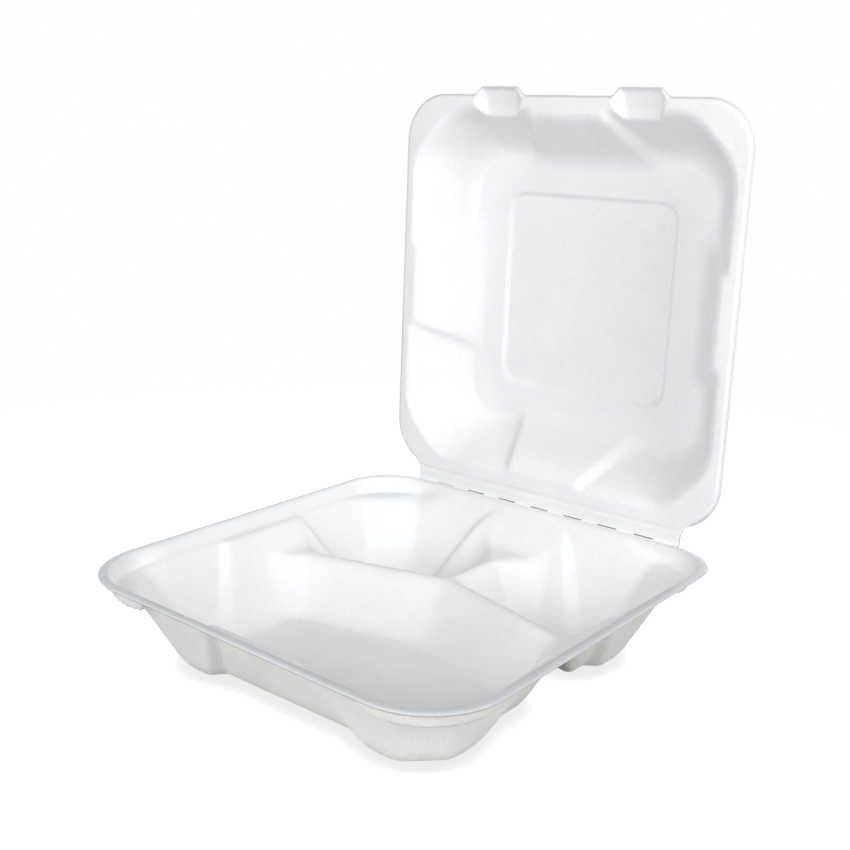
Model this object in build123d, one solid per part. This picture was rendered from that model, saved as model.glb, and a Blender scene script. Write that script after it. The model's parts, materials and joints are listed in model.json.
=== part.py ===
from build123d import *
import os
from math import atan2, cos, degrees, hypot, radians, sqrt, tan

os.makedirs("parts", exist_ok=True)

# Moulded fibre clamshell, millimetres. X runs along the hinge, the hinge is at +Y and the
# diner sits at -Y. Z is up from the table. The lid is drawn as it stands open.

wall = 0.9
level_gap = 0.004

# base tray: rim, ledge and floor levels
base_half = 114.5
front_corner = 38.0
back_corner = 30.0
rim_top = 47.8
lip_drop = 2.4
lip_run = 1.9
ledge_level = 41.8
rim_width = 3.3
band_run = 6.9
ledge_width = 2.3
pan_over = 1.0
shoulder_level = 39.3
shoulder_corner = 31.0
shoulder_run = 3.8
band_top_half = base_half - rim_width
band_low_half = band_top_half - band_run
shoulder_half = band_top_half - shoulder_run

# base tray: walls with a stepped-in middle on each side
wall_run = 20.5
floor_inset = 6.8
floor_wing = 30.5
floor_chamfer = 16.0
brim_inset = 3.5
brim_wing = 73.0
brim_chamfer = 23.0
bevel_share = 0.75
floor_round = 9.0
brim_half = band_low_half - ledge_width
brim_inset_half = brim_half - brim_wing
floor_half = brim_half - wall_run
floor_inset_half = floor_half - floor_wing
shoulder_cut = 2 * brim_half - brim_chamfer

# base tray: three-armed divider between one large and two small compartments
ridge_level = 29.8
ridge_half = 3.5
ridge_draft_deg = 27.0
ridge_lean_share = 0.26
back_run = 47.0
ridge_over = 5.5
flare_length = 10.5
flare_share = 0.75
ridge_round = 3.0
ridge_reach = base_half + ridge_over
flare_from = floor_half - flare_length
ridge_meet_y = floor_half - back_run

# perforated fold between tray and lid
fold_end = 28.0
fold_gap = 0.35
fold_tab = 2.9
slit_count = 7
slit_margin = 20.5
slit_length = 12.0
slit_depth = 0.8
hinge_edge = 0.2
fold_y = base_half
fold_half = base_half - fold_end
slit_pitch = 2 * (fold_half - slit_margin) / (slit_count - 1)

# lid: rim, pan and raised middle, drawn flat about the fold before it is stood up
lid_side_gap = 8.5
lid_end_gap = 7.5
lid_corner = 25.5
strip_width = 8.7
lid_lip_drop = 1.8
lid_lip_run = 1.5
lid_rim_side = 8.1
lid_rim_end = 7.9
lid_rim_inset = 3.5
lid_rim_wing = 72.9
lid_rim_chamfer = 24.5
lid_depth = 32.0
panel_side_run = 19.4
panel_end_run = 19.6
panel_inset = 6.0
panel_wing = 39.5
panel_chamfer = 13.0
panel_round = 7.0
boss_side_gap = 24.5
boss_end_gap = 24.0
boss_corner = 11.0
boss_depth = 2.0
boss_draft_deg = 30.0
lid_open_deg = 88.5
lid_half_x = base_half - lid_side_gap
lid_half_y = base_half - lid_end_gap
lid_middle = lid_half_y + strip_width
lid_rim_x = lid_half_x - lid_rim_side
lid_rim_y = lid_half_y - lid_rim_end
lid_rim_inset_half = lid_rim_x - lid_rim_wing
panel_x = lid_rim_x - panel_side_run
panel_y = lid_rim_y - panel_end_run
panel_inset_half = panel_x - panel_wing
boss_x = 2 * (panel_x - boss_side_gap)
boss_y = 2 * (panel_y - boss_end_gap)

# lid: two closing tabs on the front edge
tab_offset = 43.0
tab_floor_half = 10.2
tab_mouth_half = 11.0
tab_flare_share = 0.75
tab_depth = 5.2
tab_border = 1.2
tab_lean = 0.7
tab_root = 10.7
tab_reach = 4.3
tab_inner_y = lid_middle + lid_half_y - tab_root
tab_end_y = lid_middle + lid_half_y + tab_reach


def pan_outline(half_x, half_y, inset, inset_half, chamfer):
    """Corners of a square pan with cut corners and a stepped-in middle on all four sides."""
    inner_half = inset_half - inset * bevel_share
    points = []
    for turn in range(4):
        along, across = (half_x, half_y) if turn % 2 == 0 else (half_y, half_x)
        side = [
            (along - chamfer, across),
            (inset_half, across),
            (inner_half, across - inset),
            (-inner_half, across - inset),
            (-inset_half, across),
            (-along + chamfer, across),
        ]
        for x, y in side:
            for _ in range(turn):
                x, y = -y, x
            points.append((x, y))
    return points


def ridge_outline():
    """Corners of the three-armed divider's crest, each arm widening where it meets a wall."""
    slant = ridge_half * hypot(1, ridge_lean_share)
    wide = ridge_half + flare_share * (ridge_reach - flare_from)
    wide_slant = wide * hypot(1, ridge_lean_share)
    neck_y = ridge_meet_y - ridge_lean_share * flare_from
    tip_y = ridge_meet_y - ridge_lean_share * ridge_reach
    elbow_y = ridge_meet_y + slant - ridge_lean_share * ridge_half
    right = [
        (flare_from, neck_y - slant),
        (ridge_reach, tip_y - wide_slant),
        (ridge_reach, tip_y + wide_slant),
        (flare_from, neck_y + slant),
        (ridge_half, elbow_y),
        (ridge_half, flare_from),
        (wide, ridge_reach),
    ]
    left = [(-x, y) for x, y in reversed(right)]
    return [(0, ridge_meet_y - slant)] + right + left


def grown(points, amount):
    """The outline moved outward by this amount, every edge kept parallel."""
    moved = []
    for i, (x, y) in enumerate(points):
        x0, y0 = points[i - 1]
        x2, y2 = points[(i + 1) % len(points)]
        before = hypot(x - x0, y - y0)
        after = hypot(x2 - x, y2 - y)
        nx, ny = (y - y0) / before, (x0 - x) / before
        mx, my = (y2 - y) / after, (x - x2) / after
        reach = amount / (1 + nx * mx + ny * my)
        moved.append((x + reach * (nx + mx), y + reach * (ny + my)))
    return moved


def carried(low, high, share):
    """The outline a share of the way from low to high, beyond them outside 0 to 1."""
    return [(a + (c - a) * share, b + (d - b) * share) for (a, b), (c, d) in zip(low, high)]


def drafted(low, low_z, high, high_z):
    """Solid with flat sloping sides between two outlines of matching corners."""
    foot = [Vector(x, y, low_z) for x, y in low]
    head = [Vector(x, y, high_z) for x, y in high]
    faces = [Face(Wire.make_polygon(foot[::-1])), Face(Wire.make_polygon(head))]
    for i in range(len(foot)):
        j = (i + 1) % len(foot)
        faces.append(Face(Wire.make_polygon([foot[i], foot[j], head[j], head[i]])))
    return Solid(Shell(faces))


def rounded(half_x, half_y, front, back):
    """Rectangle with one corner radius at the front and another at the back."""
    plan = Rectangle(2 * half_x, 2 * half_y)
    plan = fillet([v for v in plan.vertices() if v.Y < level_gap - half_y], front)
    return fillet([v for v in plan.vertices() if v.Y > half_y - level_gap], back)


def flared(half_x, half_y, front, back, low_z, high_z, run):
    """Rounded rectangle whose sides lean outward by run between the two levels."""
    taper = -degrees(atan2(run, high_z - low_z))
    plan = rounded(half_x, half_y, front, back)
    return Pos(0, 0, low_z) * extrude(plan, high_z - low_z, taper=taper)


def rim_block(half, low_z, high_z, run):
    """Block about the rim's own corner middles, leaning outward by run."""
    front = half - base_half + front_corner
    back = half - base_half + back_corner
    return flared(half, half, front, back, low_z, high_z, run)


def flat_edges(body, level):
    """Edges of the body that lie wholly at one level."""
    found = []
    for edge in body.edges():
        box = edge.bounding_box()
        if abs(box.min.Z - level) < level_gap and abs(box.max.Z - level) < level_gap:
            found.append(edge)
    return found


def pan_pair(low, low_z, high, high_z, over):
    """Cavity of a pan up to `over` above its brim, and the same pan one wall larger."""
    rise = high_z - low_z
    run = high[0][1] - low[0][1]
    skin = wall * hypot(rise, run) / rise
    below = -wall / rise
    inner = drafted(low, low_z, carried(low, high, 1 + over / rise), high_z + over)
    outer_low = grown(carried(low, high, below), skin)
    outer = drafted(outer_low, low_z - wall, grown(high, skin), high_z)
    return inner, outer


# base tray
floor_plan = pan_outline(floor_half, floor_half, floor_inset, floor_inset_half, floor_chamfer)
brim_plan = pan_outline(brim_half, brim_half, brim_inset, brim_inset_half, brim_chamfer)
cavity, hull = pan_pair(floor_plan, wall, brim_plan, ledge_level, pan_over)

ridge_slope = tan(radians(ridge_draft_deg))
ridge_skin = wall / cos(radians(ridge_draft_deg))
crest = ridge_outline()
ridge_run = (ridge_level - wall) * ridge_slope
ridge = drafted(grown(crest, ridge_run), wall, crest, ridge_level)
groove_top = ridge_level - wall
groove_crest = grown(crest, wall * ridge_slope - ridge_skin)
groove = drafted(grown(groove_crest, groove_top * ridge_slope), 0, groove_crest, groove_top)

cavity = cavity - ridge
hull = hull - groove
cavity = fillet(flat_edges(cavity, wall), floor_round)
hull = fillet(flat_edges(hull, 0), floor_round + wall)
long_crest = brim_inset * 4
cavity = fillet([e for e in flat_edges(cavity, ridge_level) if e.length > long_crest], ridge_round)
hull = fillet([e for e in flat_edges(hull, groove_top) if e.length > long_crest], ridge_round - wall)

band_rise = rim_top - ledge_level
band_lean = band_run / band_rise
band_skin = wall * hypot(band_rise, band_run) / band_rise
band_foot = band_low_half + band_skin - wall * band_lean
band_shell = rim_block(band_foot, ledge_level - wall, rim_top, (band_rise + wall) * band_lean)
band_room = rim_block(band_low_half, ledge_level, rim_top + pan_over, (band_rise + pan_over) * band_lean)

shoulder_rise = rim_top - shoulder_level
shoulder_lean = (band_top_half - shoulder_half) / shoulder_rise
shoulder_skin = wall * hypot(1, shoulder_lean)
shoulder_foot = shoulder_half + shoulder_skin - wall * shoulder_lean
foot_corner = shoulder_corner + shoulder_foot - shoulder_half
shoulder_shell = flared(shoulder_foot, shoulder_foot, foot_corner, foot_corner, shoulder_level - wall,
                        rim_top, (shoulder_rise + wall) * shoulder_lean)
shoulder_room = flared(shoulder_half, shoulder_half, shoulder_corner, shoulder_corner, shoulder_level,
                       rim_top + pan_over, (shoulder_rise + pan_over) * shoulder_lean)
room_side = sqrt(2) * shoulder_cut
shell_side = room_side - 2 * wall
shoulder_room = shoulder_room - Rot(0, 0, 45) * Box(room_side, room_side, 4 * rim_top)
shoulder_shell = shoulder_shell - Rot(0, 0, 45) * Box(shell_side, shell_side, 4 * rim_top)

lip_skin = wall * hypot(lip_drop, lip_run) / lip_drop
lip_level = rim_top - lip_drop
lip = rim_block(base_half, lip_level, rim_top, -lip_run)
lip = lip - rim_block(base_half - lip_skin, lip_level, rim_top, -lip_run)

fold_edge = fold_y - hinge_edge
fold_plate = Pos(0, fold_edge - fold_tab / 2, rim_top - wall / 2) * Box(2 * fold_half, fold_tab, wall)
slit_places = [(i - (slit_count - 1) / 2) * slit_pitch for i in range(slit_count)]
slits = [Pos(x, fold_edge, rim_top) * Box(slit_length, 2 * slit_depth, lip_drop) for x in slit_places]
base_tray = lip + band_shell + shoulder_shell + hull + fold_plate
base_tray = base_tray - band_room - shoulder_room - cavity - slits

# lid, flat: fold along X at Y = 0, inside facing up, pan below zero
rim_plan = pan_outline(lid_rim_x, lid_rim_y, lid_rim_inset, lid_rim_inset_half, lid_rim_chamfer)
panel_plan = pan_outline(panel_x, panel_y, panel_inset, panel_inset_half, panel_chamfer)
lid_cavity, lid_hull = pan_pair(panel_plan, -lid_depth, rim_plan, 0, pan_over)
lid_cavity = fillet(flat_edges(lid_cavity, -lid_depth), panel_round)
lid_hull = fillet(flat_edges(lid_hull, -lid_depth - wall), panel_round + wall)

lid_flat_x = lid_half_x - lid_lip_run
lid_flat_y = lid_half_y - lid_lip_run
flange = Pos(0, 0, -wall) * extrude(
    RectangleRounded(2 * lid_flat_x, 2 * lid_flat_y, lid_corner - lid_lip_run), wall)
lid_lip_skin = wall * hypot(lid_lip_drop, lid_lip_run) / lid_lip_drop
lip_corner = lid_corner - lid_lip_skin
lid_lip = flared(lid_half_x, lid_half_y, lid_corner, lid_corner, -lid_lip_drop, 0, -lid_lip_run)
lid_lip = lid_lip - flared(lid_half_x - lid_lip_skin, lid_half_y - lid_lip_skin, lip_corner, lip_corner,
                           -lid_lip_drop, 0, -lid_lip_run)

boss_run = boss_depth * tan(radians(boss_draft_deg))
boss_room = Pos(0, 0, -lid_depth) * extrude(
    RectangleRounded(boss_x, boss_y, boss_corner), boss_depth, dir=(0, 0, -1), taper=boss_draft_deg)
boss_shell = Pos(0, 0, -lid_depth) * extrude(
    RectangleRounded(boss_x + 2 * wall, boss_y + 2 * wall, boss_corner + wall), boss_depth + wall,
    dir=(0, 0, -1), taper=boss_draft_deg)


def tab_block(floor_half, floor_end, mouth_half, mouth_end, low_z, over):
    """Block of a closing tab: straight floor, mouth at level 0 that widens towards the lid."""
    wide = mouth_half + tab_flare_share * (mouth_end - tab_inner_y)
    low = [(-floor_half, tab_inner_y), (floor_half, tab_inner_y),
           (floor_half, floor_end), (-floor_half, floor_end)]
    high = [(-wide, tab_inner_y), (wide, tab_inner_y), (mouth_half, mouth_end), (-mouth_half, mouth_end)]
    high = carried(low, high, 1 - over / low_z)
    foot = Wire.make_polygon([Vector(x, y, low_z) for x, y in low])
    head = Wire.make_polygon([Vector(x, y, over) for x, y in high])
    return Solid.make_loft([foot, head], ruled=True)


mouth_end = tab_end_y - tab_border
floor_end = mouth_end - tab_lean
tab_room = tab_block(tab_floor_half, floor_end, tab_mouth_half, mouth_end, -tab_depth, pan_over)
tab_shell = tab_block(tab_floor_half + wall, floor_end + wall, tab_mouth_half + tab_border, tab_end_y,
                      -tab_depth - wall, 0)

fold_strip = Pos(0, (hinge_edge + lid_middle - lid_flat_y + lid_lip_run) / 2, -wall / 2) * Box(
    2 * fold_half, lid_middle - lid_flat_y + lid_lip_run - hinge_edge, wall)
lid_slits = [Pos(x, hinge_edge, 0) * Box(slit_length, 2 * slit_depth, 4 * wall) for x in slit_places]

lid_middle_at = Pos(0, lid_middle, 0)
lid = lid_middle_at * (flange + lid_lip + lid_hull + boss_shell)
lid = lid + fold_strip
for side in (-1, 1):
    lid = lid + Pos(side * tab_offset, 0, 0) * tab_shell
lid = lid - lid_middle_at * lid_cavity - lid_middle_at * boss_room - lid_slits
for side in (-1, 1):
    lid = lid - Pos(side * tab_offset, 0, 0) * tab_room
lid = Pos(0, fold_y, rim_top + fold_gap) * Rot(lid_open_deg, 0, 0) * lid

export_step(base_tray, "parts/base_tray.step")
export_step(lid, "parts/lid.step")
for name, body in (("base_tray", base_tray), ("lid", lid)):
    box = body.bounding_box()
    print(name, "valid", body.is_valid, "solids", len(body.solids()), "volume", round(body.volume))
    print(box.min, box.max)
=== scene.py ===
import bpy
import json
import math
import numpy as np
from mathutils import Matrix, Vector


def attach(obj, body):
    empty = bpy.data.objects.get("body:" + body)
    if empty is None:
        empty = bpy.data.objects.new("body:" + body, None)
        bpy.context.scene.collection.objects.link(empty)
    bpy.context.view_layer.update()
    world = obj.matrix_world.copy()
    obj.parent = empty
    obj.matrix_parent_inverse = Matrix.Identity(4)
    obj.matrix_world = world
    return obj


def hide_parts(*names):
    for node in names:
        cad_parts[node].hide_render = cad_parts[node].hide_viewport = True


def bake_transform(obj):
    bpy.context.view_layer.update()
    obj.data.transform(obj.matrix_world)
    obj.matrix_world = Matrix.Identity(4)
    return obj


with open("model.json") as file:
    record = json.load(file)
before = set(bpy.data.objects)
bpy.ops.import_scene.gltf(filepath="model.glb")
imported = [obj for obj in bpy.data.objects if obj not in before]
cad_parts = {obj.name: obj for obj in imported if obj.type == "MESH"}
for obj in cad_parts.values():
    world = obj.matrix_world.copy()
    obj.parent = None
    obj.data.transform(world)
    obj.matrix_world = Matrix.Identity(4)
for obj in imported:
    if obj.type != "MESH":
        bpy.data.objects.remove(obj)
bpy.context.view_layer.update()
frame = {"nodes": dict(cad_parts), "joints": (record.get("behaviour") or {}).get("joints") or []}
print("frame loaded:", sorted(frame["nodes"]))

mm = 0.001
hinge = frame["joints"][0]["pos_m"]
foldY, foldZ = hinge[1] / mm, hinge[2] / mm


# soft meeting of two heights, as pulp rounds every edge of its mould
def softMax(a, b, radius):
    near = np.maximum(radius - np.abs(a - b), 0) / radius
    return np.maximum(a, b) + near * near * radius / 4


def softMin(a, b, radius):
    return -softMax(-a, -b, radius)


def easeStep(low, high, value):
    t = np.clip((value - low) / (high - low), 0, 1)
    return t * t * (3 - 2 * t)


# height of a square pan with drafted walls, cut corners and a stepped-in middle on each side
def panHeight(x, y, pan):
    floor, rise = pan["floorLevel"], pan["brimLevel"] - pan["floorLevel"]
    walls = insets = np.full_like(x, -np.inf)
    for along, out, axis in ((x, np.abs(y), 1), (y, np.abs(x), 0)):
        low, high = pan["floorHalf"][axis], pan["brimHalf"][axis]
        flank = floor + (out - low) * rise / (high - low)
        lowIn, highIn = low - pan["floorInset"], high - pan["brimInset"]
        inset = floor + (out - lowIn) * rise / (highIn - lowIn)
        # bevel plane through the floor and brim ends of the step
        lowEnd, highEnd, share = pan["floorInsetHalf"], pan["brimInsetHalf"], pan["bevelShare"]
        slopeOut = rise / ((high - low) + (lowEnd - highEnd) / share)
        bevel = floor + slopeOut * (out - low) - slopeOut / share * (np.abs(along) - lowEnd)
        walls = softMax(walls, flank, pan["cornerRound"])
        insets = np.maximum(insets, softMin(inset, bevel, pan["stepRound"]))
    lowCut = sum(pan["floorHalf"]) - pan["floorChamfer"]
    highCut = sum(pan["brimHalf"]) - pan["brimChamfer"]
    chamfer = floor + (np.abs(x) + np.abs(y) - lowCut) * rise / (highCut - lowCut)
    walls = softMax(walls, chamfer, pan["cornerRound"])
    walls = softMax(walls, insets, pan["creaseRound"])
    return softMax(floor, walls, pan["floorRound"])


# vertices of a square grid laid out as rings that run from the middle to a rounded outline
def ringLayout(gridX, gridY, halfX, halfY, frontCorner, backCorner, ringStops):
    ring = np.maximum(np.abs(gridX), np.abs(gridY))
    safe = np.where(ring > 0, ring, 1)
    sideX, sideY = gridX / safe, gridY / safe
    share = np.interp(ring, *zip(*ringStops))
    corner = np.where(gridY < 0, frontCorner, backCorner) - (1 - share) * halfX
    corner = np.maximum(corner, 0)
    reachX, reachY = halfX * share, halfY * share
    upright = np.abs(sideX) >= np.abs(sideY)
    walk = np.where(upright, np.abs(sideY), np.abs(sideX))
    reach = np.where(upright, reachY, reachX)
    out = np.where(upright, reachX, reachY)
    path = walk * (reach - corner + corner * math.pi / 4)
    turn = np.maximum(path - (reach - corner), 0) / np.where(corner > 0, corner, np.inf)
    along = np.where(turn > 0, reach - corner + corner * np.sin(turn), path)
    out = out - corner + corner * np.cos(turn)
    x = np.where(upright, out * np.sign(sideX), along * np.sign(sideX))
    y = np.where(upright, along * np.sign(sideY), out * np.sign(sideY))
    return x, y


# size that the rim outline would have to have to pass through a point
def rimReach(x, y, half, frontCorner, backCorner):
    middle = half - np.where(y < 0, frontCorner, backCorner)
    overX, overY = np.abs(x) - middle, np.abs(y) - middle
    cornered = middle + np.hypot(np.maximum(overX, 0), np.maximum(overY, 0))
    return np.where((overX > 0) & (overY > 0), cornered, np.maximum(np.abs(x), np.abs(y)))


sheet = {
    "waves": ((61, 0.4, 1.7), (43, 1.9, 2.7), (29, 2.7, 3.7), (83, 1.1, 4.7)),  # length, heading, phase
    "smoothDeg": 50,
}


# gentle unevenness of a pressed pulp sheet
def sheetWaver(x, y, depth, seed):
    waver = np.zeros_like(x)
    for length, heading, phase in sheet["waves"]:
        walk = x * math.cos(heading) + y * math.sin(heading)
        waver += np.sin(walk / length * 2 * math.pi + seed * phase)
    return waver * depth / len(sheet["waves"])


def startPiece():
    if bpy.context.object and bpy.context.object.mode != "OBJECT":
        bpy.ops.object.mode_set(mode="OBJECT")
    bpy.ops.object.select_all(action="DESELECT")


def pickPiece(piece):
    startPiece()
    piece.select_set(True)
    bpy.context.view_layer.objects.active = piece


def addGrid(name, columns, rows):
    startPiece()
    bpy.ops.mesh.primitive_grid_add(x_subdivisions=columns, y_subdivisions=rows, size=2, location=(0, 0, 0))
    piece = bpy.context.object
    piece.name = piece.data.name = name
    return piece


def readPoints(piece):
    points = np.empty(len(piece.data.vertices) * 3)
    piece.data.vertices.foreach_get("co", points)
    return points.reshape(-1, 3)


def writePoints(piece, points):
    piece.data.vertices.foreach_set("co", np.asarray(points, float).ravel())
    piece.data.update()


# share of the painted shade on the rims and lips at each vertex
def writeRimShade(piece, share):
    piece.data.attributes.new("rim", "FLOAT", "POINT").data.foreach_set("value", share)


# thickness and finishes: 0 pressed side, 1 screen side, 2 cut edge, darkened partly as painted shade
def finishSheet(piece, thickness, inside):
    piece.data.materials.clear()
    for finish in (inside, outsideFibre, edgeShadeFibre):
        piece.data.materials.append(finish)
    pickPiece(piece)
    modifier = piece.modifiers.new("thickness", "SOLIDIFY")
    modifier.thickness, modifier.offset = thickness * mm, -1
    modifier.use_even_offset = modifier.use_quality_normals = True
    modifier.material_offset, modifier.material_offset_rim = 1, 2
    bpy.ops.object.modifier_apply(modifier=modifier.name)
    bpy.ops.object.shade_smooth_by_angle(angle=math.radians(sheet["smoothDeg"]))
    piece.select_set(False)


class Wire:  # a socket that can be written in sums
    def __init__(self, tree, socket=None):
        self.tree, self.socket = tree, socket

    # any node: sockets are named with _ for a space, or i0, i1 and so on by number
    def node(self, kind, settings=None, out=0, **inputs):
        made = self.tree.nodes.new(kind)
        for key, value in (settings or {}).items():
            setattr(made, key, value)
        for key, value in inputs.items():
            numbered = key[0] == "i" and key[1:].isdigit()
            socket = made.inputs[int(key[1:]) if numbered else key.replace("_", " ")]
            if isinstance(value, Wire):
                self.tree.links.new(value.socket, socket)
            else:
                socket.default_value = value
        return Wire(self.tree, made.outputs[out] if made.outputs else None)

    def math(self, operation, a, b=0.0):
        return self.node("ShaderNodeMath", {"operation": operation}, i0=a, i1=b)

    def __add__(self, other):
        return self.math("ADD", self, other)

    def __radd__(self, other):
        return self.math("ADD", other, self)

    def __sub__(self, other):
        return self.math("SUBTRACT", self, other)

    def __rsub__(self, other):
        return self.math("SUBTRACT", other, self)

    def __mul__(self, other):
        return self.math("MULTIPLY", self, other)

    def __rmul__(self, other):
        return self.math("MULTIPLY", other, self)

    def sine(self):
        return self.math("SINE", self)

    def absolute(self):
        return self.math("ABSOLUTE", self)

    def parts(self):  # the x, y and z of a vector
        return [self.node("ShaderNodeSeparateXYZ", out=axis, Vector=self) for axis in range(3)]

    def noise(self, look):  # noise read at this place
        return self.node("ShaderNodeTexNoise", Vector=self, **look)

    def between(self, low, high):
        return self.node("ShaderNodeMapRange", {"interpolation_type": "SMOOTHSTEP"},
                         Value=self, From_Min=low, From_Max=high)

    def tint(self, first, second, blend="MIX"):  # colour mixed by this share
        return self.node("ShaderNodeMix", {"data_type": "RGBA", "blend_type": blend}, out=2,
                         i0=self, i6=first, i7=second)


def freshTree(owner):
    owner.use_nodes = True
    owner.node_tree.nodes.clear()
    return Wire(owner.node_tree)


fibre = {
    # painted shade: the tray copy is tinted bluer than the lid copy of the same pulp, after the cool shade
    # inside the tray
    "trayLight": (0.80, 0.819, 0.836, 1), "trayDark": (0.735, 0.757, 0.778, 1),
    "lidLight": (0.793, 0.796, 0.805, 1), "lidDark": (0.730, 0.735, 0.746, 1),
    "outsideLight": (0.83, 0.82, 0.797, 1), "outsideDark": (0.735, 0.723, 0.693, 1),
    # painted shade for the slits
    "slitShadeLight": (0.16, 0.15, 0.14, 1), "slitShadeDark": (0.08, 0.075, 0.07, 1),
    # cut edge tone: partly the rough cut, partly painted shade for the line under the lip
    "edgeLight": (0.50, 0.49, 0.47, 1), "edgeDark": (0.36, 0.35, 0.33, 1),
    # painted shade: grey that darkens the level rims and the lips
    "rimShadeTone": (0.75, 0.76, 0.77, 1),
    "insideRoughness": 0.62, "outsideRoughness": 0.82, "cutRoughness": 0.9, "roughnessSpread": 0.16,
    "insideSpecular": 0.35, "outsideSpecular": 0.25,
    # noises
    "cloud": {"Scale": 28.0, "Detail": 4.0, "Roughness": 0.6},
    "grain": {"Scale": 900.0, "Detail": 3.0, "Roughness": 0.7},
    "coarseCloud": {"Scale": 28.0, "Detail": 5.0, "Roughness": 0.6},
    "coarseGrain": {"Scale": 630.0, "Detail": 4.0, "Roughness": 0.7},
    # what the noises and the print do to the colour
    "grainShare": 0.55, "insideMottle": (0.35, 0.65), "cutMottle": (0.3, 0.7),
    "cloudTint": 0.6, "grainTint": 0.3, "printTint": 0.03, "outsideMottle": (0.3, 0.6),
    # relief
    "insideBump": {"Strength": 0.45, "Distance": 0.0003},
    "outsideBump": {"Strength": 0.8, "Distance": 0.0004}, "printDepth": 0.16, "grainDepth": 0.9,
    # forming screen, in mm, and the facings where its wires turn
    "screenPitch": 1.3, "printPatches": (0.38, 0.58), "printLeast": 0.3,
    "squareOn": (0.28, 0.42), "levelOn": (0.80, 0.90), "cornerTurn": (-0.02, 0.02),
}


def roughness(grain, middle):
    return grain * fibre["roughnessSpread"] + (middle - fibre["roughnessSpread"] / 2)


# pressed side: smooth white with faint clouding and very fine fibre
def makeInsideFibre(name, dark, light):
    material = bpy.data.materials.new(name)
    base = freshTree(material)
    place = base.node("ShaderNodeTexCoord", out="Object")
    cloud, grain = place.noise(fibre["cloud"]), place.noise(fibre["grain"])
    mottle = cloud * (1 - fibre["grainShare"]) + grain * fibre["grainShare"]
    colour = mottle.between(*fibre["insideMottle"]).tint(dark, light)
    rim = base.node("ShaderNodeAttribute", {"attribute_name": "rim"}, out="Fac")  # painted shade along the rims and lips
    surface = base.node("ShaderNodeBsdfPrincipled",
                        Base_Color=rim.tint(colour, fibre["rimShadeTone"], "MULTIPLY"),
                        Roughness=roughness(grain, fibre["insideRoughness"]),
                        Normal=base.node("ShaderNodeBump", Height=grain, **fibre["insideBump"]),
                        Specular_IOR_Level=fibre["insideSpecular"])
    base.node("ShaderNodeOutputMaterial", Surface=surface)
    return material


# screen side: warm and rough, printed all over by the forming wire
def makeOutsideFibre():
    material = bpy.data.materials.new("screenFibre")
    base = freshTree(material)
    place = base.node("ShaderNodeTexCoord", out="Object")
    x, y, z = place.parts()
    faceX, faceY, faceZ = base.node("ShaderNodeTexCoord", out="Normal").parts()
    # the wires run along each wall and up it
    onX = (faceX.absolute() - faceY.absolute()).between(*fibre["squareOn"])
    onY = (faceY.absolute() - faceX.absolute()).between(*fibre["squareOn"])
    onZ = faceZ.absolute().between(*fibre["levelOn"])
    lean = (faceX * faceY).between(*fibre["cornerTurn"]) * 2 - 1
    cross = (x - y * lean) * math.sqrt(0.5)
    wave = 2 * math.pi / (fibre["screenPitch"] * mm)
    wireX, wireY, wireZ, wireCross = [(axis * wave).sine() for axis in (x, y, z, cross)]
    upright = wireZ + wireY * onX + wireX * onY + wireCross * (1 - onX - onY)
    screen = upright * (1 - onZ) + (wireX + wireY) * onZ
    # the print is fainter in patches
    cloud, grain = place.noise(fibre["coarseCloud"]), place.noise(fibre["coarseGrain"])
    least = fibre["printLeast"]
    printed = screen * (cloud.between(*fibre["printPatches"]) * (1 - least) + least)
    mottle = cloud * fibre["cloudTint"] + grain * fibre["grainTint"] + printed * fibre["printTint"]
    relief = printed * fibre["printDepth"] + grain * fibre["grainDepth"]
    colour = mottle.between(*fibre["outsideMottle"]).tint(fibre["outsideDark"], fibre["outsideLight"])
    surface = base.node("ShaderNodeBsdfPrincipled", Base_Color=colour,
                        Roughness=roughness(grain, fibre["outsideRoughness"]),
                        Normal=base.node("ShaderNodeBump", Height=relief, **fibre["outsideBump"]),
                        Specular_IOR_Level=fibre["outsideSpecular"])
    base.node("ShaderNodeOutputMaterial", Surface=surface)
    return material


# cut edges: rough, and darkened partly as painted shade for the line under the lip; darker still in the slits,
# which stay closed and carry painted shade for the cut
def makeCutShadeFibre(name, dark, light):
    material = bpy.data.materials.new(name)
    base = freshTree(material)
    grain = base.node("ShaderNodeTexCoord", out="Object").noise(fibre["grain"])
    surface = base.node("ShaderNodeBsdfPrincipled", Roughness=fibre["cutRoughness"],
                        Base_Color=grain.between(*fibre["cutMottle"]).tint(dark, light))
    base.node("ShaderNodeOutputMaterial", Surface=surface)
    return material


# tray copy in cool painted shade, lid copy neutral
trayCoolShadeFibre = makeInsideFibre("pressedTrayFibreCoolShade", fibre["trayDark"], fibre["trayLight"])
lidFibre = makeInsideFibre("pressedLidFibre", fibre["lidDark"], fibre["lidLight"])
outsideFibre = makeOutsideFibre()
slitShadeFibre = makeCutShadeFibre("slitShadeFibre", fibre["slitShadeDark"], fibre["slitShadeLight"])
edgeShadeFibre = makeCutShadeFibre("edgeShadeFibre", fibre["edgeDark"], fibre["edgeLight"])
print("fibre finishes made")

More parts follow.
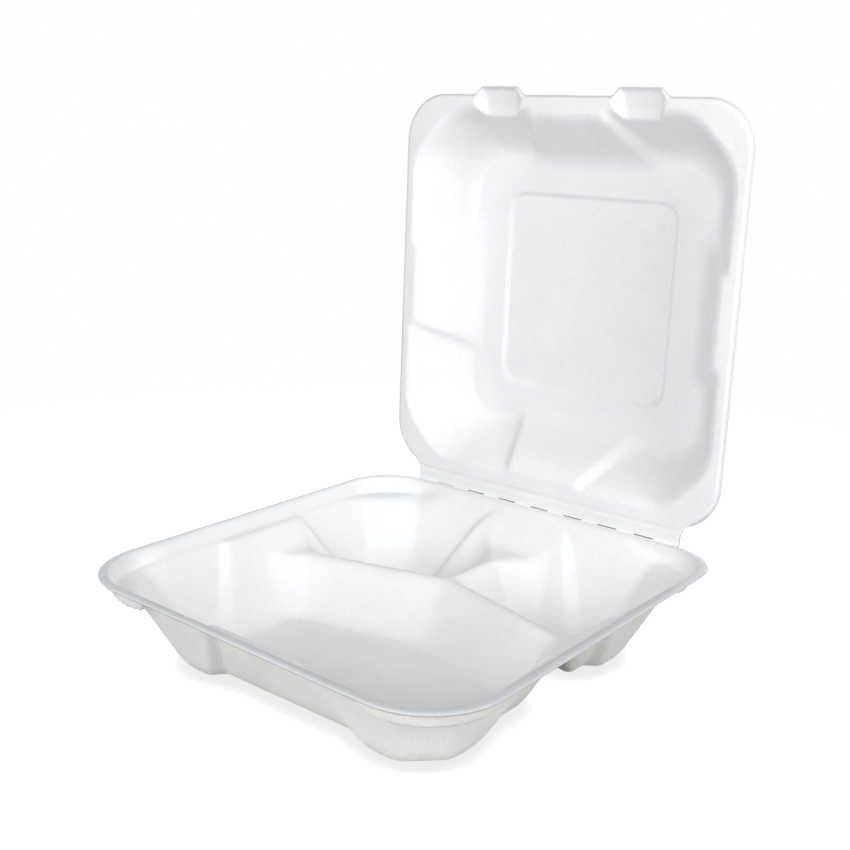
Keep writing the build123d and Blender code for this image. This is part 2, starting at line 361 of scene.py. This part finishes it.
# sizes in mm, with the tray standing on z = 0
tray = {
    "cells": 200, "thickness": 0.9, "ringStops": ((0, 0), (0.3, 0.5), (0.86, 0.95), (1, 1)),
    "half": 114.5, "frontCorner": 38.0, "backCorner": 30.0,
    "waver": 0.12, "waverSeed": 2.1, "waverFade": (114.0, 90.0),
    "rimTop": 47.8, "rimFrom": 109.6, "rimRound": 2.6, "lipFrom": 113.6, "lipFall": 0.8, "lipRound": 0.5,
    "ledge": 41.8, "bandFrom": 104.3, "bandLeast": 2.0, "shoulderHalf": 107.6, "shoulderCorner": 31.0,
    # corner shoulders and ledge, on the two faces of the sheet
    "inside": {"footRound": 2.0, "ledgeRound": 3.5, "cornerRound": 10.0, "drop": 2.0,
               "from": 164.0, "full": 190.0, "backShare": 1.0, "backSoft": 6.0},
    "outside": {"footRound": 3.0, "ledgeRound": 3.0, "cornerRound": 3.2, "drop": 3.2,
                "from": 168.0, "full": 175.0, "backShare": 0.15, "backSoft": 0.0},
    "fill": (-3.5, 0.2),  # how far the outside may leave the inside
    "backAlong": (70.0, 100.0), "backAcross": (98.0, 70.0),
    "droop": 2.1, "droopFrom": 20.0, "droopFull": 142.0,
    # painted shade: the rim on the near sides, and the edge all round, drawn greyer
    "rimShadeSpan": (107.5, 110.5), "rimShadeNear": (-0.5, 0.2), "lipShadeSpan": (112.0, 113.8),
}
trayPan = {
    "floorLevel": 0.9, "brimLevel": 41.8, "floorHalf": (81.5, 81.5), "brimHalf": (102.0, 102.0),
    "floorInset": 6.8, "brimInset": 3.5, "floorInsetHalf": 51.0, "brimInsetHalf": 29.0, "bevelShare": 0.75,
    "floorChamfer": 16.0, "brimChamfer": 23.0,
    "floorRound": 9.5, "stepRound": 2.4, "creaseRound": 2.4, "cornerRound": 5.0,
}
divider = {
    "crest": 29.8, "crestHalf": 3.5, "crestRound": 6.0, "crestSoft": math.sqrt(0.5),
    "slope": 1.963, "lean": 0.26, "meetY": 34.5, "meetRound": 8.0, "bendRound": 3.0, "endRound": 6.0,
    "wallRound": 9.0,
    "flareFrom": 78.0, "backFlareFrom": 71.0, "flare": 0.75, "flareRound": 3.0, "fanRound": 1.5,
}
fold = {
    "half": 86.5, "fadeIn": 0.5, "fade": 4.0, "neckHalf": 89.5, "backFrom": 100.0, "shortFrom": 90.0,
    "trayEdge": 112.4, "lidEdge": 2.3, "lap": 0.5, "lift": 0.03, "thickness": 0.9, "bend": 1.0,
    "slits": 7, "pitch": 22.0, "slitLong": 11.5, "slitWide": 0.6,
    "slitShares": (-0.5, -0.25, 0, 0.25, 0.5), "bendShares": (0.125, 0.875),
}


# three-armed divider, each arm spreading where it runs into a wall
def dividerHeight(x, y):
    crest, half, slope, lean = [divider[key] for key in ("crest", "crestHalf", "slope", "lean")]
    flare, flareFrom, meetY = divider["flare"], divider["flareFrom"], divider["meetY"]
    # side arms, mirrored left and right
    sideX = np.hypot(x, divider["bendRound"])
    slant = math.hypot(1, lean)
    off = (y - (meetY - lean * sideX)) / slant
    arms = crest - slope * (np.hypot(off, divider["crestSoft"]) - half)
    neckY = meetY - lean * flareFrom
    front, rear = flare * slant + lean, flare * slant - lean
    frontOff = -((sideX - flareFrom) * front + (y - neckY + half * slant)) / math.hypot(1, front)
    rearOff = ((flareFrom - sideX) * rear + (y - neckY - half * slant)) / math.hypot(1, rear)
    fan = crest - slope * softMax(frontOff, rearOff, divider["fanRound"])
    arms = softMax(arms, fan, divider["flareRound"])
    # back arm
    backArm = crest - slope * (np.hypot(x, divider["crestSoft"]) - half)
    backOff = np.abs(x) - half - flare * (y - divider["backFlareFrom"])
    backArm = softMax(backArm, crest - slope * backOff / math.hypot(1, flare), divider["flareRound"])
    backArm = softMin(backArm, crest + slope * (y - meetY + half), divider["endRound"])
    return softMin(softMax(arms, backArm, divider["meetRound"]), crest, divider["crestRound"])


def pastFold(x):  # 0 along the fold, 1 beyond its ends
    return easeStep(fold["half"] - fold["fadeIn"], fold["half"] + fold["fade"], np.abs(x))


def trayReach(x, y):
    return rimReach(x, y, tray["half"], tray["frontCorner"], tray["backCorner"])


def trayHeight(x, y, face):
    height = softMax(panHeight(x, y, trayPan), dividerHeight(x, y), divider["wallRound"])
    # ledge and sloping rim band, which draw back to a shoulder at the corners
    shoulder = easeStep(face["from"], face["full"], np.abs(x) + np.abs(y))
    shoulder = shoulder * np.where(y > 0, face["backShare"], 1)
    ledge = tray["ledge"] - face["drop"] * shoulder
    reach = trayReach(x, y)
    wide = rimReach(x, y, tray["shoulderHalf"], tray["shoulderCorner"], tray["shoulderCorner"])
    start = (reach - tray["bandFrom"]) * (1 - shoulder) + (wide - tray["shoulderHalf"]) * shoulder
    run = np.maximum(start + tray["rimFrom"] - reach, tray["bandLeast"])
    band = ledge + start * (tray["rimTop"] - ledge) / run
    # the back wall runs into the fold in one soft curve
    atBack = easeStep(*tray["backAlong"], y) * easeStep(*tray["backAcross"], np.abs(x)) * face["backSoft"]
    soft = face["ledgeRound"] + (face["cornerRound"] - face["ledgeRound"]) * shoulder + atBack
    height = softMin(height, softMax(ledge, band, face["footRound"] + atBack), soft)
    # rim: a level top that rolls over into a thin lip, except along the fold
    height = softMin(height, tray["rimTop"], tray["rimRound"])
    lip = tray["rimTop"] - tray["lipFall"] * (reach - tray["lipFrom"])
    lipHere = np.where(y > fold["backFrom"], pastFold(x), 1)
    height = height + (softMin(height, lip, tray["lipRound"]) - height) * lipHere
    # the near corner of the soft rim hangs a little
    hang = easeStep(tray["droopFrom"], tray["droopFull"], (x - y) * math.sqrt(0.5))
    return height - tray["droop"] * hang * (height / tray["rimTop"]) ** 2


def makeTray():
    piece = addGrid("fibreTray", tray["cells"], tray["cells"])
    grid = readPoints(piece)
    x, y = ringLayout(grid[:, 0], grid[:, 1], tray["half"], tray["half"], tray["frontCorner"],
                      tray["backCorner"], tray["ringStops"])
    # the fold strip takes over just short of the back edge
    toBack = np.clip((y - fold["shortFrom"]) / (tray["half"] - fold["shortFrom"]), 0, 1)
    y = y - (tray["half"] - fold["trayEdge"]) * (1 - pastFold(x)) * toBack
    inside = trayHeight(x, y, tray["inside"])
    waver = sheetWaver(x, y, tray["waver"], tray["waverSeed"])
    z = inside + waver * easeStep(*tray["waverFade"], np.maximum(np.abs(x), np.abs(y)))
    writePoints(piece, np.stack([x, y, z], 1) * mm)
    reach = trayReach(x, y)
    # painted shade on the rim of the near sides and on the lip all round
    nearShadeSide = easeStep(*tray["rimShadeNear"], (x - y) / np.maximum(np.abs(x) + np.abs(y), 1))
    nearRimShade = easeStep(*tray["rimShadeSpan"], reach) * nearShadeSide
    writeRimShade(piece, np.maximum(nearRimShade, easeStep(*tray["lipShadeSpan"], reach)))
    finishSheet(piece, tray["thickness"], trayCoolShadeFibre)
    # pulp fills the corner shoulders, so they are soft inside and crisp outside
    points = readPoints(piece)
    points[len(x):, 2] += np.clip(trayHeight(x, y, tray["outside"]) - inside, *tray["fill"]) * mm
    writePoints(piece, points)
    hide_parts("base_tray")
    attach(piece, "tray")
    print("tray pressed:", len(piece.data.polygons), "faces")


# sizes in mm, lying flat with the hinge at the low end of y, then stood up on the fold
lid = {
    "cells": 200, "thickness": 0.9, "ringStops": ((0, 0), (0.12, 0.45), (0.30, 0.525), (1, 1)),
    "openDeg": 88.5, "halfX": 106.0, "halfY": 107.0, "corner": 25.5, "middle": 115.7,
    "waver": 0.12, "waverSeed": 4.3, "waverFade": (0.0, 20.0),
    "lipRun": 1.5, "lipDrop": 1.8, "rimRound": 1.4, "brimRound": 4.5, "lipShadeSpan": (1.6, 0.4),
    "bossX": 54.0, "bossY": 55.5, "bossCorner": 11.0, "bossDepth": 2.0, "bossSide": 2.2, "bossRound": 0.4,
    # strip from the rim down to the fold
    "neckFade": (-3.0, 1.0), "neckFrom": -85.0,
    "stripRows": 8, "stripHollow": 2.4, "stripDip": 0.5, "stripDips": 2.2,
}
lidPan = {
    "floorLevel": -32.0, "brimLevel": 0.0, "floorHalf": (78.5, 79.5), "brimHalf": (97.9, 99.1),
    "floorInset": 6.0, "brimInset": 3.5, "floorInsetHalf": 39.0, "brimInsetHalf": 25.0, "bevelShare": 0.75,
    "floorChamfer": 13.0, "brimChamfer": 24.5,
    "floorRound": 9.0, "stepRound": 3.0, "creaseRound": 3.0, "cornerRound": 14.0,
}
tab = {
    "offset": 43.0, "rootHalf": 16.4, "endHalf": 12.0, "out": 4.3, "from": 80.0, "outFade": 7.5,
    "floorHalf": 10.4, "depth": 5.4, "endShare": 0.45, "depthRun": 9.0, "border": 1.2, "endRun": 0.8,
    "mouthHalf": 11.6, "mouthFlare": 0.8, "flareRun": 5.0, "mouthNarrow": 0.4, "wallLeast": 0.3, "round": 1.0,
}


# closing tab: a pocket that opens into the pan
def tabHeight(x, y, side):
    across = np.abs(x - side * tab["offset"])
    fromEnd = lid["halfY"] + tab["out"] - tab["border"] - y
    mouth = tab["mouthHalf"] + tab["mouthFlare"] * np.clip(fromEnd, 0, tab["flareRun"])
    mouth = mouth - tab["mouthNarrow"] * np.maximum(fromEnd - tab["flareRun"], 0)
    deepening = np.clip(fromEnd / tab["depthRun"], 0, 1)
    depth = tab["depth"] * (tab["endShare"] + (1 - tab["endShare"]) * deepening)
    wallRun = np.maximum(mouth - tab["floorHalf"], tab["wallLeast"])
    wall = -depth + depth * (across - tab["floorHalf"]) / wallRun
    endWall = -depth * fromEnd / tab["endRun"]
    return softMax(-depth, softMax(wall, endWall, tab["round"]), tab["round"])


def lidHeight(x, y):
    # shallow rounded square pressed out of the top
    overX = np.abs(x) - lid["bossX"] + lid["bossCorner"]
    overY = np.abs(y) - lid["bossY"] + lid["bossCorner"]
    off = np.hypot(np.maximum(overX, 0), np.maximum(overY, 0)) - lid["bossCorner"]
    off = off + np.minimum(np.maximum(overX, overY), 0)
    pressed = softMin(-off * lid["bossDepth"] / lid["bossSide"], lid["bossDepth"], lid["bossRound"])
    height = panHeight(x, y, lidPan) - softMax(pressed, 0, lid["bossRound"])
    height = softMin(height, 0, lid["brimRound"])
    for side in (-1, 1):
        pocket = softMin(height, tabHeight(x, y, side), tab["round"])
        height = np.where(y > tab["from"], pocket, height)
    return height


# strip drawn from the edge of the rim to the fold, with hollow ends
def drawStrip(piece, onEdge):
    rows = lid["stripRows"]
    pickPiece(piece)
    bpy.ops.object.mode_set(mode="EDIT")
    bpy.ops.mesh.select_mode(type="EDGE")
    bpy.ops.mesh.select_all(action="DESELECT")
    bpy.ops.object.mode_set(mode="OBJECT")
    ends = np.empty(len(piece.data.edges) * 2, int)
    piece.data.edges.foreach_get("vertices", ends)
    ends = ends.reshape(-1, 2)
    piece.data.edges.foreach_set("select", onEdge[ends[:, 0]] & onEdge[ends[:, 1]])
    bpy.ops.object.mode_set(mode="EDIT")
    for row in range(rows):
        bpy.ops.mesh.extrude_region_move(TRANSFORM_OT_translate={"value": (0, -mm, 0)})
    bpy.ops.object.mode_set(mode="OBJECT")
    points = readPoints(piece) / mm
    start = points[:len(onEdge)][onEdge]
    widest = np.abs(start[:, 0]).max()
    for row, strip in enumerate(np.split(np.arange(len(onEdge), len(points)), rows), 1):
        down = row / rows
        begin = start[[int(np.argmin(np.abs(start[:, 0] - value))) for value in points[strip, 0]]]
        reach = fold["half"] + (fold["neckHalf"] - fold["half"]) * (1 - down) ** lid["stripHollow"]
        dip = lid["stripDip"] * math.sin(min(down * lid["stripDips"], 1) * math.pi)
        points[strip, 0] = begin[:, 0] * reach / widest
        points[strip, 1] = begin[:, 1] + (fold["lidEdge"] - lid["middle"] - begin[:, 1]) * down
        points[strip, 2] = begin[:, 2] * (1 - down) - dip
    return points


def makeLid():
    piece = addGrid("fibreLid", lid["cells"], lid["cells"])
    grid = readPoints(piece)
    x, y = ringLayout(grid[:, 0], grid[:, 1], lid["halfX"], lid["halfY"], lid["corner"], lid["corner"],
                      lid["ringStops"])
    ring = np.maximum(np.abs(grid[:, 0]), np.abs(grid[:, 1]))
    edge = (1 - np.interp(ring, *zip(*lid["ringStops"]))) * lid["halfX"]  # distance in from the outline
    for side in (-1, 1):
        across = np.abs(x - side * tab["offset"])
        bulge = np.clip((tab["rootHalf"] - across) / (tab["rootHalf"] - tab["endHalf"]), 0, 1)
        bulge = tab["out"] * bulge * easeStep(tab["outFade"], 0, edge)
        y = y + np.where(y > tab["from"], bulge, 0)
    z = lidHeight(x, y)
    atNeck = easeStep(*lid["neckFade"], fold["neckHalf"] - np.abs(x)) * (y < lid["neckFrom"])
    lip = -(lid["lipRun"] - edge) * lid["lipDrop"] / lid["lipRun"]
    z = z + (softMin(z, lip, lid["rimRound"]) - z) * (1 - atNeck)
    z = z + sheetWaver(x, y, lid["waver"], lid["waverSeed"]) * easeStep(*lid["waverFade"], edge)
    writePoints(piece, np.stack([x, y, z], 1) * mm)
    # painted shade along the lid's lip
    writeRimShade(piece, easeStep(*lid["lipShadeSpan"], edge) * (1 - atNeck))
    points = drawStrip(piece, np.isclose(ring, 1) & (y < 0) & (np.abs(x) < fold["neckHalf"]))
    # stand it up on the fold
    turn = math.radians(lid["openDeg"])
    up, out = points[:, 1] + lid["middle"], points[:, 2]
    worldY = foldY + up * math.cos(turn) - out * math.sin(turn)
    worldZ = foldZ + up * math.sin(turn) + out * math.cos(turn)
    writePoints(piece, np.stack([points[:, 0], worldY, worldZ], 1) * mm)
    finishSheet(piece, lid["thickness"], lidFibre)
    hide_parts("lid")
    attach(piece, "lid")
    print("lid pressed:", len(piece.data.polygons), "faces")


# fold between the two, which bends with the lid; its slits are closed faces with painted shade, not cuts
def makeFold():
    middles = [(i - (fold["slits"] - 1) / 2) * fold["pitch"] for i in range(fold["slits"])]
    columns = [middle + share * fold["slitLong"] for middle in middles for share in fold["slitShares"]]
    columns = [-fold["half"], *columns, fold["half"]]
    # flat run on the tray, a quarter bend, a flat run up the lid
    turn, bend, top = math.radians(lid["openDeg"]), fold["bend"], tray["rimTop"] + fold["lift"]
    firstY = fold["trayEdge"] - fold["lap"]
    flatOne = foldY - fold["lift"] - bend - firstY
    arc = bend * turn
    flatTwo = foldZ + fold["lidEdge"] + fold["lap"] - top - bend
    slitFrom, slitTo = [flatOne + (arc + way * fold["slitWide"]) / 2 for way in (-1, 1)]
    bendIn, bendOut = [flatOne + share * arc for share in fold["bendShares"]]
    bendEnd = flatOne + arc
    rows = [0, flatOne / 2, flatOne, bendIn, slitFrom, slitTo, bendOut, bendEnd, bendEnd + flatTwo / 2,
            bendEnd + flatTwo]
    piece = addGrid("foldStrip", len(columns) - 1, len(rows) - 1)
    grid = readPoints(piece)
    x = np.array(columns)[np.rint((grid[:, 0] + 1) / 2 * (len(columns) - 1)).astype(int)]
    walk = np.array(rows)[np.rint((grid[:, 1] + 1) / 2 * (len(rows) - 1)).astype(int)]
    inSlit = []
    for polygon in piece.data.polygons:
        corners = list(polygon.vertices)
        midX = x[corners].mean()
        along = any(abs(midX - middle) < fold["slitLong"] / 2 for middle in middles)
        inSlit.append(along and slitFrom < walk[corners].mean() < slitTo)
    around = np.clip((walk - flatOne) / bend, 0, turn)
    past = np.maximum(walk - bendEnd, 0)
    y = firstY + np.minimum(walk, flatOne) + bend * np.sin(around) + past * math.cos(turn)
    z = top + bend * (1 - np.cos(around)) + past * math.sin(turn)
    writePoints(piece, np.stack([x, y, z], 1) * mm)
    finishSheet(piece, fold["thickness"], trayCoolShadeFibre)
    # painted shade: the slit faces go dark on both faces as the shadow of a cut, the first one less so
    piece.data.materials.append(slitShadeFibre)
    edgeShadeIndex, slitShadeIndex = [list(piece.data.materials).index(finish) for finish in (edgeShadeFibre, slitShadeFibre)]
    firstEnd = (middles[0] + fold["pitch"] / 2) * mm
    faces = piece.data.polygons
    for i in np.flatnonzero(inSlit):
        for face in (faces[i], faces[len(inSlit) + i]):
            face.material_index = edgeShadeIndex if face.center.x < firstEnd else slitShadeIndex
    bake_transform(piece)
    print("fold perforated:", fold["slits"], "slits")


makeTray()
makeLid()
makeFold()

# metres, degrees and watts, with the lens and sensor in mm
studio = {
    "cameraAt": (0.35227, -0.41961, 0.26166), "cameraTurn": (75.3147, -1.2345, 39.5308),
    "lens": 50.866, "sensor": 36, "clip": (0.01, 50),
    "aim": (0, 0.05, 0.08), "away": 1.1,
    "lamps": {  # turn from the right-hand side, height angle, width, height, power
        "front": (-86, 23, 0.5, 0.95, 9.8),
        "left": (180, 25, 0.5, 0.95, 0.4),
        "right": (-12, 25, 0.5, 0.95, 8.6),
        "top": (0, 86, 0.5, 0.5, 1.0),
        "back": (112, 22, 0.8, 0.8, 2.0),
        "rear": (100, 14, 0.9, 0.6, 4.2),
    },
    "worldLight": 0.04, "white": (1, 1, 1, 1),
    "floorSize": 30, "floorShade": (0.62, 0.62, 0.63, 1), "floorGlow": 0.93, "floorTone": (0.28, 0.28, 0.29, 1),
    "contactReach": 0.012, "contactSamples": 16, "contactOpen": (0.25, 1.0),
    "contactTone": (0.84, 0.835, 0.83, 1),
    "whitening": (0.30, 0.62),  # distances over which the floor fades to plain white
}


def seenDirectly(base):  # rays that show the backdrop itself
    camera, glossy, through = [base.node("ShaderNodeLightPath", out=ray) for ray in
                               ("Is Camera Ray", "Is Glossy Ray", "Is Transmission Ray")]
    return base.math("MAXIMUM", camera, base.math("MAXIMUM", glossy, through))


def makeCamera():
    camera = bpy.data.objects.new("photoCamera", bpy.data.cameras.new("photoCamera"))
    bpy.context.scene.collection.objects.link(camera)
    camera.location = studio["cameraAt"]
    camera.rotation_euler = [math.radians(angle) for angle in studio["cameraTurn"]]
    camera.data.lens, camera.data.sensor_width = studio["lens"], studio["sensor"]
    camera.data.clip_start, camera.data.clip_end = studio["clip"]
    bpy.context.scene.camera = camera


def makeLamps():
    for name, (turn, height, width, tall, power) in studio["lamps"].items():
        light = bpy.data.objects.new(name + "Light", bpy.data.lights.new(name + "Light", "AREA"))
        bpy.context.scene.collection.objects.link(light)
        turn, height = math.radians(turn), math.radians(height)
        level = math.cos(height)
        way = Vector((math.cos(turn) * level, math.sin(turn) * level, math.sin(height)))
        light.location = Vector(studio["aim"]) + way * studio["away"]
        light.rotation_euler = (-way).to_track_quat("-Z", "Y").to_euler()
        light.data.shape = "RECTANGLE"
        light.data.size, light.data.size_y, light.data.energy = width, tall, power


# pale floor that keeps a soft shadow and a contact shade, and fades to white further out
def makeFloor():
    startPiece()
    bpy.ops.mesh.primitive_plane_add(size=studio["floorSize"], location=(0, 0, 0))
    floor = bpy.context.object
    floor.name = "studioFloor"
    material = bpy.data.materials.new("paleFloor")
    base = freshTree(material)
    shade = base.node("ShaderNodeBsdfDiffuse", Color=studio["floorShade"])
    tone = base.node("ShaderNodeBsdfDiffuse", Color=studio["floorTone"])
    glow = base.node("ShaderNodeEmission", Color=studio["white"], Strength=studio["floorGlow"])
    white = base.node("ShaderNodeEmission", Color=studio["white"], Strength=1.0)
    grey = base.node("ShaderNodeEmission", Color=studio["contactTone"], Strength=1.0)
    near = base.node("ShaderNodeAddShader", i0=tone, i1=glow)
    sky = base.node("ShaderNodeAmbientOcclusion", {"samples": studio["contactSamples"]}, out="AO",
                    Distance=studio["contactReach"])
    near = base.node("ShaderNodeMixShader", i0=sky.between(*studio["contactOpen"]), i1=grey, i2=near)
    place = base.node("ShaderNodeTexCoord", out="Object")
    far = base.node("ShaderNodeVectorMath", {"operation": "LENGTH"}, out="Value", i0=place)
    shown = base.node("ShaderNodeMixShader", i0=far.between(*studio["whitening"]), i1=near, i2=white)
    surface = base.node("ShaderNodeMixShader", i0=seenDirectly(base), i1=shade, i2=shown)
    base.node("ShaderNodeOutputMaterial", Surface=surface)
    floor.data.materials.append(material)


def makeWorld():
    world = bpy.data.worlds.new("studioWorld")
    bpy.context.scene.world = world
    base = freshTree(world)
    soft = base.node("ShaderNodeBackground", Color=studio["white"], Strength=studio["worldLight"])
    white = base.node("ShaderNodeBackground", Color=studio["white"], Strength=1.0)
    surface = base.node("ShaderNodeMixShader", i0=seenDirectly(base), i1=soft, i2=white)
    base.node("ShaderNodeOutputWorld", Surface=surface)


makeCamera()
makeLamps()
makeFloor()
makeWorld()
bpy.context.scene.view_settings.view_transform = "Standard"
print("studio lit:", len(studio["lamps"]), "lamps")
